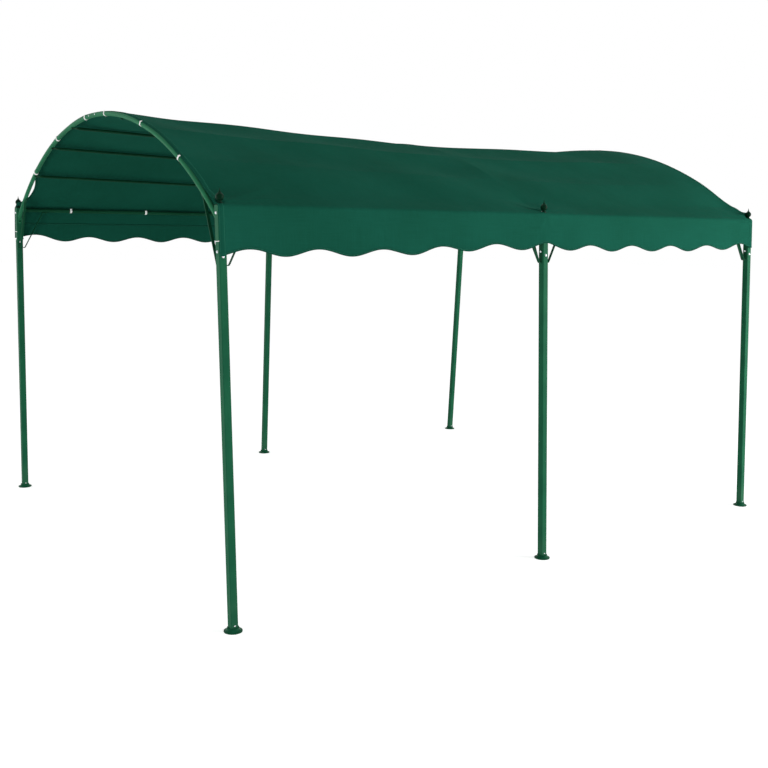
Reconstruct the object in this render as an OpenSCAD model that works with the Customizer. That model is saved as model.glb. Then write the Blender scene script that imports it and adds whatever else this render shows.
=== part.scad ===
// Garden gazebo: six square steel posts, three arched roof tubes, purlins and eave rails,
// flat-bar knee braces, and a fabric canopy with a scalloped valance on each long side.
// Millimetres, +Z up. The origin is on the ground, below the middle of the roof.
// X runs along the length, Y across the width; "front" is -Y and "left" is -X.

/* [Overall] */
// Length over the outer faces of the end posts
gazebo_l = 4000; // [3200:50:5000]
// Width over the outer faces of the corner posts, at the eaves
gazebo_w = 2990; // [2400:50:3600]
// Height of the post tops above the ground
eave_h = 1965; // [1700:5:2300]
// Outward lean of every post, in degrees
leg_lean = 2.9; // [0:0.1:5]
// How far the middle posts stand outside the line of the corner posts
mid_spread = 44; // [0:2:60]

/* [Posts] */
// Side of the square post tube
post_w = 38; // [30:1:50]
// Wall of the post tube
post_wall = 1.2; // [1:0.1:3]
// Outer corner radius of the post tube
post_corner_r = 4; // [3:0.5:6]

/* [Feet] */
// Diameter of the round foot
foot_d = 89; // [76:1:120]
// Height of the flare that rises from the foot to the post
foot_h = 21; // [16:1:40]
// Thickness of the foot under the post
foot_sole = 5; // [3:0.5:10]
// Height of the spigot that fills the bottom of the post
foot_spigot_h = 50; // [40:2:90]

/* [Finials] */
// Height of a finial above the post top
finial_h = 76; // [64:1:110]
// Diameter of the finial's ball
finial_ball_d = 38; // [30:1:46]
// Height of the middle of the ball above the post top
finial_ball_h = 37; // [32:1:50]

/* [Arches] */
// Rise of an end arch from its foot to its crown
arch_rise = 580; // [400:1:700]
// How much lower the crown of the middle arch is
mid_arch_drop = 56; // [0:2:100]
// Diameter of the arch tube
arch_d = 25; // [20:1:32]
// Wall of the arch tube
arch_wall = 1.2; // [0.8:0.1:2]
// Depth below the post top at which an arch's centre line would meet the post's axis
arch_foot_drop = 77; // [60:1:100]
// Thickness of the plate at the foot of an arch
arch_plate_t = 4; // [3:0.5:6]
// Width of the plate
arch_plate_w = 28; // [24:1:34]
// Distance between the plate's two bolts
arch_plate_l = 56; // [50:1:70]
// Distance along an arch from its crown to the joint between its halves
arch_joint = 65; // [0:5:200]
// Length of the reduced end of the front half, inside the back half
arch_spigot = 60; // [30:5:100]

/* [Rails and purlins] */
// Diameter of the eave rails
rail_d = 25; // [18:1:30]
// Depth of the rail's centre line below the post top
rail_drop = 15; // [13:1:24]
// Wall of the eave rails
rail_wall = 1.2; // [0.8:0.1:2]
// Diameter of the purlin tubes
purlin_d = 16; // [12:1:22]
// Wall of the purlins
purlin_wall = 1; // [0.8:0.1:1.5]
// Thickness of a purlin's flattened end
purlin_tab_t = 3; // [2:0.5:4]
// Width of a purlin's flattened end
purlin_tab_w = 20; // [16:1:26]
// Angle between one purlin and the next, seen along the roof from the arch's centre
purlin_step = 10; // [8:0.5:11]

/* [Braces] */
// Width of the flat bar
brace_w = 15; // [12:1:25]
// Thickness of the flat bar
brace_t = 3; // [2:0.5:5]
// Depth of a brace's lowest point below the post top
brace_drop = 270; // [200:2:400]
// Length of the straight flange of a lengthways brace, up to its bolt
brace_flange = 52; // [40:2:120]
// How much lower the bolt of a cross brace is
bolt_step = 21; // [14:1:30]
// Inner radius of the bend at the bottom of a brace
brace_bend_r = 8; // [3:1:14]
// Inner radius of the bend at the top of a brace
tab_bend_r = 4; // [2:1:8]
// Length of the tab at the top of a brace, up to its bolt
brace_tab = 20; // [12:1:50]
// Slope of the braces that run along the length, in degrees from square to the post
brace_slope = 62; // [50:1:70]
// Slope of the braces that run across the width, in degrees from square to the post
cross_slope = 70; // [55:1:74]

/* [Canopy] */
// Thickness of the canopy solid
canopy_t = 3; // [2:0.5:6]
// Depth of the valance below the fold, to the middle of its waves
valance_h = 186; // [120:2:300]
// Height of the valance's waves from crest to trough
wave_h = 34; // [0:2:60]
// Length of one wave
wave_l = 370; // [250:5:500]

/* [Hidden] */
$fn = 64;
fit = 0.3;                                  // gap between pieces that must not touch
half_l = (gazebo_l - post_w) / 2;
half_w = (gazebo_w - post_w) / 2;
lean_tan = tan(leg_lean);

arch_foot_z = eave_h - arch_foot_drop;
rail_z = eave_h - rail_drop;
arch_r = arch_d / 2;

big = 2 * (gazebo_l + gazebo_w + eave_h);   // larger than the gazebo any way round

// Sides: front is -1, back is +1. Bays: left is -1, middle is 0, right is +1.
SIDE_NAMES = ["front", "back"];
SIDES = [-1, 1];
PLACE_NAMES = ["left", "middle", "right"];
PLACES = [-1, 0, 1];

// How far post i leans out beyond the corner posts' line at its top
function spread(i) = i == 0 ? mid_spread : 0;
// Distance of a post's axis from the middle of the gazebo, at height z
function post_y(i, z) = half_w + spread(i) + (eave_h - z) * lean_tan;

// ---- arcs -------------------------------------------------------------------
// Radius of an arc from its half chord and its rise
function arc_r(c, h) = (c * c + h * h) / (2 * h);

function half_chord(i) = post_y(i, arch_foot_z);
function rise(i) = i == 0 ? arch_rise - mid_arch_drop : arch_rise;
function radius(i) = arc_r(half_chord(i), rise(i));
function centre_z(i) = arch_foot_z + rise(i) - radius(i);
function end_angle(i) = asin(half_chord(i) / radius(i));

// ---- posts ------------------------------------------------------------------
module post_section(w, r) {
    square([w, w - 2 * r], center = true);
    square([w - 2 * r, w], center = true);
    for (x = [-1, 1], y = [-1, 1])
        translate([x * (w / 2 - r), y * (w / 2 - r)]) circle(r);
}

// Puts its children in the frame of a post: origin at the middle of the post top,
// the post's axis along -Z
module on_post(i, s) {
    translate([i * half_l, s * post_y(i, eave_h), eave_h])
        rotate([s * leg_lean, 0, 0]) children();
}

// A square bar of side w along a post's axis, longer than the post at both ends
module post_bar(i, s, w, r) {
    on_post(i, s)
        translate([0, 0, -eave_h - 2 * post_w])
            linear_extrude(eave_h + 4 * post_w) post_section(w, r);
}

module slab(z0, z1) {
    translate([-big / 2, -big / 2, z0]) cube([big, big, z1 - z0]);
}

module post(i, s) {
    color("#1d4a33") intersection() {
        difference() {
            post_bar(i, s, post_w, post_corner_r);
            post_bar(i, s, post_w - 2 * post_wall, post_corner_r - post_wall);
        }
        slab(foot_sole, eave_h);
    }
}

// ---- feet -------------------------------------------------------------------
flare_top_r = post_w / 2 * sqrt(2) + 1;     // clears the corners of the post
flare_out = foot_d / 2 - flare_top_r;
flare_r = (flare_out * flare_out + pow(foot_h - foot_sole, 2)) / (2 * flare_out);
lip = 1.5;                                  // radius of the bead around the top of the flare

module foot(i, s) {
    color("#173d2a") {
        difference() {
            translate([i * half_l, s * post_y(i, 0), 0])
                rotate_extrude() {
                    difference() {
                        square([foot_d / 2, foot_h]);
                        translate([flare_top_r + flare_r, foot_h]) circle(flare_r);
                    }
                    translate([flare_top_r, foot_h - lip]) circle(lip);
                }
            intersection() {
                post_bar(i, s, post_w + 2 * fit, post_corner_r + fit);
                slab(foot_sole, foot_h + post_w);
            }
        }
        intersection() {
            post_bar(i, s, post_w - 2 * post_wall - 2 * fit, post_corner_r - post_wall - fit);
            slab(foot_sole - 1, foot_spigot_h);
        }
    }
}

// ---- finials ----------------------------------------------------------------
collar_r = finial_ball_d * 0.43;
collar_t = 5;
neck_r = finial_ball_d * 0.24;
ring_z = 12;                                // height of the small ring under the ball
ring_r = finial_ball_d * 0.34;
ring_t = 3;
plug_h = 20;                                // of the plug inside the post top
spike_foot = [finial_ball_d * 0.34, finial_ball_h + finial_ball_d * 0.37];
spike_tip = [1.5, finial_h];
spike_r = (finial_h - finial_ball_h) * 0.7;

// Centre of the arc of radius r through p and q that bends towards the axis
function arc_centre(p, q, r) =
    let (half = norm(q - p) / 2, n = [q[1] - p[1], p[0] - q[0]] / (2 * half))
    (p + q) / 2 + n * sqrt(r * r - half * half);

module turned_cap() {
    translate([0, collar_t / 2]) {
        translate([0, -collar_t / 2]) square([collar_r - collar_t / 2, collar_t]);
        translate([collar_r - collar_t / 2, 0]) circle(collar_t / 2);
    }
    square([neck_r, finial_ball_h]);
    translate([0, ring_z - ring_t / 2]) square([ring_r - ring_t / 2, ring_t]);
    translate([ring_r - ring_t / 2, ring_z]) circle(ring_t / 2);
    intersection() {
        translate([0, finial_ball_h]) circle(finial_ball_d / 2);
        square([finial_ball_d, finial_h]);
    }
    difference() {
        polygon([[0, finial_ball_h], [spike_foot[0], finial_ball_h], spike_foot,
            [spike_foot[0], finial_h], [0, finial_h]]);
        translate(arc_centre(spike_foot, spike_tip, spike_r)) circle(spike_r);
    }
}

module finial(i, s) {
    color("#0c2c1c") {
        translate([i * half_l, s * post_y(i, eave_h), eave_h]) rotate_extrude() turned_cap();
        intersection() {
            post_bar(i, s, post_w - 2 * post_wall - 2 * fit, post_corner_r - post_wall - fit);
            slab(eave_h - plug_h, eave_h + 1);
        }
    }
}

// ---- arches -----------------------------------------------------------------
module tube_section(r, wall) {
    difference() {
        circle(r, $fn = 32);
        circle(r - wall, $fn = 32);
    }
}
// A stretch of arc in the YZ plane, with its 2D children as the section. The angles run
// from the crown down towards side s.
module arc_stretch(r, a0, a1, s) {
    rotate([90, 0, 90]) rotate([0, 0, s > 0 ? 90 - a1 : 90 + a0])
        rotate_extrude(angle = a1 - a0, $fn = 720) translate([r, 0]) children();
}
// Angle that a length of arc takes on arch i
function turn_of(i, length) = length / radius(i) * 180 / PI;
// Half of an arch as a tube that is hollow down to angle hollow and solid from there to
// angle a. The front half has a reduced end that is pushed into the back half, past the
// crown.
spigot_r = arch_r - arch_wall - fit;
module half_tube(i, s, hollow, a) {
    joint = s * turn_of(i, arch_joint);
    tip = s < 0 ? joint - turn_of(i, arch_spigot) : joint;
    shoulder = s < 0 ? joint + turn_of(i, arch_d / 2) : joint - 1;
    translate([i * half_l, 0, centre_z(i)]) difference() {
        arc_stretch(radius(i), tip, a, s) circle(arch_r);
        arc_stretch(radius(i), shoulder, hollow, s) circle(arch_r - arch_wall);
        if (s < 0) {
            arc_stretch(radius(i), tip - 1, shoulder + 0.1, s) circle(spigot_r - arch_wall);
            arc_stretch(radius(i), tip - 1, joint, s) difference() {
                circle(arch_d);
                circle(spigot_r);
            }
        }
    }
}

// Half of an arch. Its tube is welded to a plate on the inner face of the post.
module arch_half(i, s) {
    face_drop = arch_foot_drop - post_w / 2 * tan(end_angle(i));
    color("#3f7a5c") {
        difference() {
            half_tube(i, s, end_angle(i) - turn_of(i, post_w), end_angle(i));
            post_bar(i, s, post_w + arch_plate_t, post_corner_r);
        }
        on_post(i, s) translate([0, -s * (post_w + arch_plate_t) / 2, -face_drop]) {
            cube([arch_plate_w, arch_plate_t, arch_plate_l], center = true);
            for (e = [-1, 1]) translate([0, 0, e * arch_plate_l / 2]) rotate([90, 0, 0])
                cylinder(d = arch_plate_w, h = arch_plate_t, center = true);
        }
    }
}

// ---- eave rails -------------------------------------------------------------
rail_turn = atan(mid_spread / half_l);
module rail(b, s) {
    color("#2c6148") intersection() {
        translate([0, s * post_y(0, rail_z), rail_z])
            rotate([0, 0, -b * s * rail_turn]) translate([-half_l * 1.5, 0, 0])
                rotate([0, 90, 0]) linear_extrude(half_l * 3) tube_section(rail_d / 2, rail_wall);
        translate([b > 0 ? post_w / 2 : -half_l + post_w / 2, -big / 2, 0])
            cube([half_l - post_w, big, big]);
    }
}

// ---- purlins ----------------------------------------------------------------
slice_t = 0.5;                              // ends of a hull between two sections
squeeze_l = 24;                             // over which a purlin turns flat
tilt_room = 0.4;                            // what a sloping tab needs under the round arch
// Depth of a purlin's centre line below that of arch i. At the middle arch the right bay's
// tab laps under the left bay's.
function purlin_depth(i, bay) = arch_r + fit + tilt_room + purlin_tab_t / 2
    + (i == 0 && bay > 0 ? purlin_tab_t + fit + 2 * tilt_room : 0);
function purlin_turn(i, k) = k * purlin_step * end_angle(i) / end_angle(1);
function purlin_point(i, bay, k, s) =
    let (r = radius(i) - purlin_depth(i, bay), a = purlin_turn(i, k))
    [i * half_l, s * r * sin(a), centre_z(i) + r * cos(a)];

module flat_end(w, t, l) {
    translate([0, -w / 2, -t / 2]) cube([l, w, t]);
    cylinder(d = w, h = t, center = true);
}

// A tube from a to b with both ends flattened, and turned about its own length
module flat_ended_tube(a, b, roll) {
    v = b - a;
    l = norm(v);
    flat = arch_r + 4;                      // the tab reaches this far past the arch's centre
    round_from = flat + squeeze_l;
    translate(a) rotate([roll, -asin(v[2] / l), atan2(v[1], v[0])]) {
        translate([round_from, 0, 0]) rotate([0, 90, 0]) linear_extrude(l - 2 * round_from)
            tube_section(purlin_d / 2, purlin_wall);
        for (e = [0, 1]) translate([e * l, 0, 0]) mirror([e, 0, 0]) {
            flat_end(purlin_tab_w, purlin_tab_t, flat);
            hull() {
                translate([flat - slice_t, -purlin_tab_w / 2, -purlin_tab_t / 2])
                    cube([slice_t, purlin_tab_w, purlin_tab_t]);
                translate([round_from, 0, 0]) rotate([0, 90, 0])
                    cylinder(d = purlin_d, h = slice_t, $fn = 32);
            }
        }
    }
}

module purlins(k, s) {
    color("#143a29") for (bay = [-1, 1]) {
        from = min(bay, 0);
        to = max(bay, 0);
        flat_ended_tube(purlin_point(from, bay, k, s), purlin_point(to, bay, k, s),
            -s * (purlin_turn(0, k) + purlin_turn(1, k)) / 2);
    }
}

// ---- knee braces ------------------------------------------------------------
// Each brace is a flat bar bent in a plane: a flange down the post, a tight bend, and a
// leg that rises away from the post. In that plane the origin is where the post's face
// meets the level of the post top, X runs away from the face and Y up the post.
foot_bend = [brace_t + brace_bend_r, brace_t + brace_bend_r - brace_drop];
end_inset = 0.05;                           // each face of a round end lies this far inside the bar's
function along(a) = [cos(a), sin(a)];
function arc(c, r, a0, a1) = [for (k = [0 : 10]) c + r * along(a0 + (a1 - a0) * k / 10)];

// Centre line of a leg: where it starts, and its length up to a circle about c from inside
function leg_start(slope) = foot_bend + (brace_bend_r + brace_t / 2) * along(slope - 90);
function leg_reach(slope, c, r) =
    let (v = c - leg_start(slope), off = v * along(slope - 90))
    v * along(slope) + sqrt(r * r - off * off);

// The flange and the leg, with what makes the leg's top end between its two sides
module bent_bar(slope, flange, top_end) {
    top = foot_bend[1] + flange;
    rotate([90, 0, 0]) linear_extrude(brace_w, center = true)
        polygon(concat([[0, top]], arc(foot_bend, brace_bend_r + brace_t, 180, 270 + slope),
            top_end, arc(foot_bend, brace_bend_r, 270 + slope, 180), [[brace_t, top]]));
    translate([end_inset, 0, top]) rotate([0, 90, 0])
        cylinder(d = brace_w, h = brace_t - 2 * end_inset);
}

// A brace whose tab lies under a tube: the tab slopes at tau and its upper face passes at
// distance d from the point c
module tabbed_brace(slope, flange, tau, c, d) {
    n = along(tau + 90);
    r = brace_bend_r + brace_t + tab_bend_r;
    l = (d - tab_bend_r - brace_t - (foot_bend - c) * n - r * (along(slope - 90) * n))
        / (along(slope) * n);
    o = foot_bend + r * along(slope - 90) + l * along(slope);
    tip = o + brace_tab * along(tau);
    bent_bar(slope, flange, concat(arc(o, tab_bend_r, 90 + slope, 90 + tau),
        [tip + tab_bend_r * n, tip + (tab_bend_r + brace_t) * n],
        arc(o, tab_bend_r + brace_t, 90 + tau, 90 + slope)));
    translate([tip[0], 0, tip[1]]) rotate([0, -tau, 0])
        translate([0, 0, tab_bend_r + end_inset])
            cylinder(d = brace_w, h = brace_t - 2 * end_inset);
}

module lengthways_brace(i, s, d) {
    on_post(i, s) rotate([0, 0, d > 0 ? 0 : 180]) translate([post_w / 2, 0, 0])
        tabbed_brace(brace_slope, brace_flange, 0, [0, -rail_drop / cos(leg_lean)],
            -rail_d / 2 - fit);
}

// Centre of arch i in the plane of a cross brace
function arch_centre(i) =
    let (y = post_y(i, eave_h), z = centre_z(i) - eave_h, c = cos(leg_lean), n = sin(leg_lean))
    [y * c - z * n - post_w / 2, y * n + z * c];

// The brace that runs across the width ends in a tab under the arch
module cross_brace(i, s) {
    c = arch_centre(i);
    r = radius(i) - arch_r - fit;
    top = leg_start(cross_slope) + leg_reach(cross_slope, c, r) * along(cross_slope);
    on_post(i, s) rotate([0, 0, -s * 90]) translate([post_w / 2, 0, 0])
        tabbed_brace(cross_slope, brace_flange - bolt_step, asin((c[0] - top[0]) / r), c, r);
}

module braces(i, s) {
    color("#235a41") {
        if (i < 1) lengthways_brace(i, s, 1);
        if (i > -1) lengthways_brace(i, s, -1);
        cross_brace(i, s);
    }
}

// ---- canopy -----------------------------------------------------------------
fold_out = post_w / 2 + 2;                  // inner face of the valance, from the post axis
cover_x = gazebo_l / 2;                     // half the length of the fabric

// Arch that the fabric follows at station x: 0 at the middle arch, 1 at an end arch
function at(x) = min(1, abs(x) / half_l);
function chord_end(x) = post_y(1, eave_h) + spread(0) * (1 - at(x)) + fold_out;
function mixed(a, b, t) = a + (b - a) * t;
function roof_r(x) = mixed(radius(0), radius(1), at(x));
function roof_cz(x) = arch_foot_z + mixed(rise(0), rise(1), at(x)) - roof_r(x);
function roof_turn(x) = mixed(end_angle(0), end_angle(1), at(x));
// 0 over an arch, 1 well away from it
function away(x) = sin(90 * min(1, min(abs(x), abs(half_l - abs(x))) / 350));

// The chord between two purlins stands this share of the radius from the centre
function facet(a, lo, hi) = cos((hi - lo) / 2) / cos(a - (hi + lo) / 2);
function facet_share(a) =
    a <= purlin_step ? facet(a, -purlin_step, purlin_step)
    : a <= 2 * purlin_step ? facet(a, purlin_step, 2 * purlin_step)
    : a <= 3 * purlin_step ? facet(a, 2 * purlin_step, 3 * purlin_step)
    : 1;

// Angles at which the roof is divided across: at each purlin, halfway between two, and
// at the edge, where the fabric leaves the arch and runs straight to the fold
roof_edge = mixed(3 * purlin_step, end_angle(1), 0.56);
across_half = concat([for (k = [1 : 6]) k / 2 * purlin_step],
    [(3 * purlin_step + roof_edge) / 2, roof_edge]);
across = concat([for (k = [7 : -1 : 0]) -across_half[k]], [0], across_half);
skin_gap = arch_r + fit + canopy_t;         // inner face of the roof, from the arch's centre line
function roof_point(x, a, t) =
    let (
        turn = a * roof_turn(x) / end_angle(1),
        share = mixed(1, facet_share(abs(a)), away(x)),
        r = (roof_r(x) + skin_gap) * share + t
    ) [x, r * sin(turn), roof_cz(x) + r * cos(turn)];
function fold_point(x, s, t) = [x, s * (chord_end(x) + t), eave_h + 2 * fit + t];
function roof_row(x, t) = concat([fold_point(x, -1, t)],
    [for (a = across) roof_point(x, a, t)], [fold_point(x, 1, t)]);

bay_steps = [0, 0.02, 0.06, 0.12, 0.2, 0.35, 0.5, 0.65, 0.8, 0.88, 0.94, 0.98];
stations = concat([-cover_x], [for (f = bay_steps) -half_l * (1 - f)],
    [for (f = bay_steps) half_l * f], [half_l, cover_x]);

// A closed sheet between two grids of points. The grids have one row for each station.
module sheet_solid(inner, outer) {
    n = len(inner);
    m = len(inner[0]);
    points = concat([for (row = inner, p = row) p], [for (row = outer, p = row) p]);
    function at_in(i, j) = i * m + j;
    function at_out(i, j) = n * m + i * m + j;
    faces = concat(
        [for (i = [0 : n - 2], j = [0 : m - 2], t = [0, 1]) t == 0
            ? [at_out(i, j), at_out(i, j + 1), at_out(i + 1, j)]
            : [at_out(i + 1, j), at_out(i, j + 1), at_out(i + 1, j + 1)]],
        [for (i = [0 : n - 2], j = [0 : m - 2], t = [0, 1]) t == 0
            ? [at_in(i, j), at_in(i + 1, j), at_in(i, j + 1)]
            : [at_in(i + 1, j), at_in(i + 1, j + 1), at_in(i, j + 1)]],
        [for (i = [0 : n - 2], e = [0, m - 1], t = [0, 1])
            let (q = [at_in(i, e), at_out(i, e), at_out(i + 1, e), at_in(i + 1, e)],
                f = t == 0 ? [q[0], q[1], q[2]] : [q[0], q[2], q[3]])
            e == 0 ? f : [f[2], f[1], f[0]]],
        [for (j = [0 : m - 2], e = [0, n - 1], t = [0, 1])
            let (q = [at_in(e, j), at_in(e, j + 1), at_out(e, j + 1), at_out(e, j)],
                f = t == 0 ? [q[0], q[1], q[2]] : [q[0], q[2], q[3]])
            e == 0 ? f : [f[2], f[1], f[0]]]
    );
    polyhedron(points, faces, convexity = 4);
}

finial_hole_r = post_w / 2 + 3;
module canopy_roof() {
    color("#185442") difference() {
        sheet_solid([for (x = stations) roof_row(x, 0)],
            [for (x = stations) roof_row(x, canopy_t)]);
        for (i = PLACES, s = SIDES)
            translate([i * half_l, s * post_y(i, eave_h), eave_h])
                cylinder(r = finial_hole_r, h = finial_h, $fn = 24);
    }
}

wave_steps = 8;
function wave(x) = -valance_h + wave_h / 2 * cos(360 * x / wave_l);
function hang_point(x, z, s, t) =
    [x, s * (chord_end(x) + t - (z + 1) * lean_tan), eave_h + fit + z];
// The two edges at station x, in the order of growing Y, seen from above the fabric
function hang_row(x, s, t) =
    let (top = hang_point(x, 0, s, t), edge = hang_point(x, wave(x), s, t))
    s > 0 ? [top, edge] : [edge, top];
module valance(s) {
    count = ceil(2 * cover_x / wave_l * wave_steps);
    xs = [for (k = [0 : count]) -cover_x + 2 * cover_x * k / count];
    color("#1e6450") sheet_solid([for (x = xs) hang_row(x, s, 0)],
        [for (x = xs) hang_row(x, s, canopy_t)]);
}

function at_post(piece, s, p) = str(piece, "_", SIDE_NAMES[s], "_", PLACE_NAMES[p]);
for (s = [0, 1], p = [0, 1, 2]) {
    post(PLACES[p], SIDES[s]);
    foot(PLACES[p], SIDES[s]);
    finial(PLACES[p], SIDES[s]);
    braces(PLACES[p], SIDES[s]);
}
for (s = [0, 1]) {
    arch_half(-1, SIDES[s]);
    arch_half(0, SIDES[s]);
    arch_half(1, SIDES[s]);
    rail(-1, SIDES[s]);
    rail(1, SIDES[s]);
    purlins(1, SIDES[s]);
    purlins(2, SIDES[s]);
    purlins(3, SIDES[s]);
    valance(SIDES[s]);
}
canopy_roof();
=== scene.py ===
import math
import random

import bpy
import numpy as np
from mathutils import Matrix, Vector


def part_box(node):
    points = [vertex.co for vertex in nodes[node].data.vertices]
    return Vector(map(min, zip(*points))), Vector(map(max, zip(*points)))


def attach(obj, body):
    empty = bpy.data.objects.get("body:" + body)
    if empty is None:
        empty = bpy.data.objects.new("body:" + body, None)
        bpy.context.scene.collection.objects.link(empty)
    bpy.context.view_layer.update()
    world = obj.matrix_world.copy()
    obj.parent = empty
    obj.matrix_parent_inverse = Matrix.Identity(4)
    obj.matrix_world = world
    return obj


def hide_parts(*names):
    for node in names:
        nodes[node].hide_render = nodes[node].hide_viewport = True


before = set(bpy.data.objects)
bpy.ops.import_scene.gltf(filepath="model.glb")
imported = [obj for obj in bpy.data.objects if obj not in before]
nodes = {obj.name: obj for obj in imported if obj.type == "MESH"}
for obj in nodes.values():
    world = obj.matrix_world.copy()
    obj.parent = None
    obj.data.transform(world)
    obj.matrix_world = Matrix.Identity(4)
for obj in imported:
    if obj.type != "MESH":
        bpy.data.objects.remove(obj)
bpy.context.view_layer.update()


# ---- View and light ---------------------------------------------------------------------
# A person's view of the gazebo from beyond its front left post, in a white studio: soft
# light from all round, a large lamp at the front right, another at the back left, and a
# low one beyond the left gable that reaches in under the roof.


def colour(code):
    """The linear colour of a six-digit colour code."""
    parts = [int(code[i : i + 2], 16) / 255 for i in (0, 2, 4)]
    linear = [p / 12.92 if p <= 0.04045 else ((p + 0.055) / 1.055) ** 2.4 for p in parts]
    return (*linear, 1.0)


class Shade:
    """The output of a node. Maths on it adds Math nodes to the same look."""

    def __init__(self, look, socket):
        self.look = look
        self.socket = socket

    def maths(self, operation, *terms):
        return self.look.node("ShaderNodeMath", {"operation": operation}, dict(enumerate(terms)))

    def __add__(self, other):
        return self.maths("ADD", self, other)

    __radd__ = __add__

    def __sub__(self, other):
        return self.maths("SUBTRACT", self, other)

    def __rsub__(self, other):
        return self.maths("SUBTRACT", other, self)

    def __mul__(self, other):
        return self.maths("MULTIPLY", self, other)

    __rmul__ = __mul__

    def __truediv__(self, other):
        return self.maths("DIVIDE", self, other)

    def __abs__(self):
        return self.maths("ABSOLUTE", self)

    def __lt__(self, other):
        return self.maths("LESS_THAN", self, other)

    def wave(self, length):
        """A sine of this length."""
        return self.maths("SINE", self * (2 * math.pi / length))

    def beside(self, name):
        """Another output of the same node."""
        return Shade(self.look, self.socket.node.outputs[name])

    def part_of(self, length):
        """How far along its own stretch of this length each point is, from 0 to 1."""
        return self.maths("FRACT", self / length)

    def rise(self, low, high):
        """0 up to low, 1 from high, and smooth between."""
        return self.look.node(
            "ShaderNodeMapRange",
            {"interpolation_type": "SMOOTHSTEP"},
            {"Value": self, "From Min": low, "From Max": high},
        )


class Look:
    """The nodes of a material or of the world."""

    def __init__(self, tree):
        self.tree = tree

    def node(self, kind, settings=None, sockets=None, output=0):
        new = self.tree.nodes.new(kind)
        for name, value in (settings or {}).items():
            setattr(new, name, value)
        self.fill(new, sockets or {})
        return Shade(self, new.outputs[output])

    def fill(self, node, sockets):
        for name, value in sockets.items():
            if isinstance(value, Shade):
                self.tree.links.new(value.socket, node.inputs[name])
            else:
                node.inputs[name].default_value = value

    def mix(self, share, a, b):
        return self.node("ShaderNodeMix", {"data_type": "RGBA"}, {0: share, 6: a, 7: b}, 2)


def new_material(name):
    """A material, its look and its surface shader."""
    material = bpy.data.materials.new(name)
    material.use_nodes = True
    look = Look(material.node_tree)
    return material, look, material.node_tree.nodes["Principled BSDF"]


WHITE = (1.0, 1.0, 1.0, 1.0)
STUDIO_LIGHT = 0.345
scene = bpy.context.scene
scene.view_settings.view_transform = "Standard"
scene.world = bpy.data.worlds.new("studio")
scene.world.use_nodes = True
studio = Look(scene.world.node_tree)
seen = (
    studio.node("ShaderNodeLightPath", output="Is Camera Ray")
    + studio.node("ShaderNodeLightPath", output="Is Glossy Ray")
    + studio.node("ShaderNodeLightPath", output="Is Transmission Ray")
)
soft_light = studio.node("ShaderNodeBackground", None, {"Color": WHITE, "Strength": STUDIO_LIGHT})
backdrop = studio.node("ShaderNodeBackground", None, {"Color": WHITE, "Strength": 1.0})
studio.fill(
    scene.world.node_tree.nodes["World Output"],
    {"Surface": studio.node("ShaderNodeMixShader", None, {0: seen, 1: soft_light, 2: backdrop})},
)


def soft_lamp(name, at, towards, size, power):
    """A large flat lamp that faces a point."""
    lamp = bpy.data.objects.new(name, bpy.data.lights.new(name, "AREA"))
    lamp.data.shape = "RECTANGLE"
    lamp.data.size, lamp.data.size_y = size
    lamp.data.energy = power
    lamp.location = at
    lamp.rotation_euler = (Vector(towards) - Vector(at)).to_track_quat("-Z", "Y").to_euler()
    scene.collection.objects.link(lamp)


soft_lamp("front_lamp", (6.2, -7.2, 2.8), (0.2, -1.0, 1.6), (4.6, 4.0), 625)
soft_lamp("low_lamp", (-7.6, -2.6, 0.9), (0.2, 0.6, 1.5), (2.6, 1.4), 110)
soft_lamp("back_lamp", (-6.4, 6.6, 2.6), (-1.5, 0.0, 1.2), (2.4, 3.6), 110)

CAMERA_AT = (-4.092, -5.591, 1.887)
CAMERA_PAN = math.radians(-36.439)
CAMERA_TILT = math.radians(81.078)
CAMERA_ROLL = math.radians(0.965)
camera = bpy.data.objects.new("camera", bpy.data.cameras.new("camera"))
camera.data.lens = 47.28
camera.data.sensor_width = 36.0
camera.data.clip_end = 200.0
camera.matrix_world = (
    Matrix.Translation(CAMERA_AT)
    @ Matrix.Rotation(CAMERA_PAN, 4, "Z")
    @ Matrix.Rotation(CAMERA_TILT, 4, "X")
    @ Matrix.Rotation(CAMERA_ROLL, 4, "Z")
)
scene.collection.objects.link(camera)
scene.camera = camera

FLOOR_HALF = 40.0
FLOOR_GLOW = 0.70
floor_paint, floor_look, floor_surface = new_material("floor_paint")
grain = floor_look.node("ShaderNodeTexNoise", None, {"Scale": 6.0, "Detail": 4.0})
floor_look.fill(
    floor_surface,
    {
        "Base Color": floor_look.mix(grain.rise(0.3, 0.7), colour("e9e9e9"), colour("eeeeee")),
        "Roughness": 0.9,
        "Specular IOR Level": 0.1,
    },
)
glow = floor_look.node(
    "ShaderNodeEmission",
    None,
    {
        "Color": WHITE,
        "Strength": FLOOR_GLOW
        * (
            floor_look.node("ShaderNodeLightPath", output="Is Camera Ray")
            + floor_look.node("ShaderNodeLightPath", output="Is Glossy Ray")
        ),
    },
)
floor_look.fill(
    floor_look.tree.nodes["Material Output"],
    {
        "Surface": floor_look.node(
            "ShaderNodeAddShader",
            None,
            {0: Shade(floor_look, floor_surface.outputs[0]), 1: glow},
        )
    },
)


def add_mesh(name, points, faces, material, smooth=True):
    """A mesh object with one material."""
    mesh = bpy.data.meshes.new(name)
    mesh.from_pydata([tuple(p) for p in points], [], [tuple(f) for f in faces])
    mesh.materials.append(material)
    mesh.polygons.foreach_set("use_smooth", [smooth] * len(mesh.polygons))
    mesh.update()
    piece = bpy.data.objects.new(name, mesh)
    scene.collection.objects.link(piece)
    return piece


floor_corners = [
    (FLOOR_HALF * x, FLOOR_HALF * y, 0.0) for x, y in ((-1, -1), (1, -1), (1, 1), (-1, 1))
]
add_mesh("floor", floor_corners, [(0, 1, 2, 3)], floor_paint)


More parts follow.
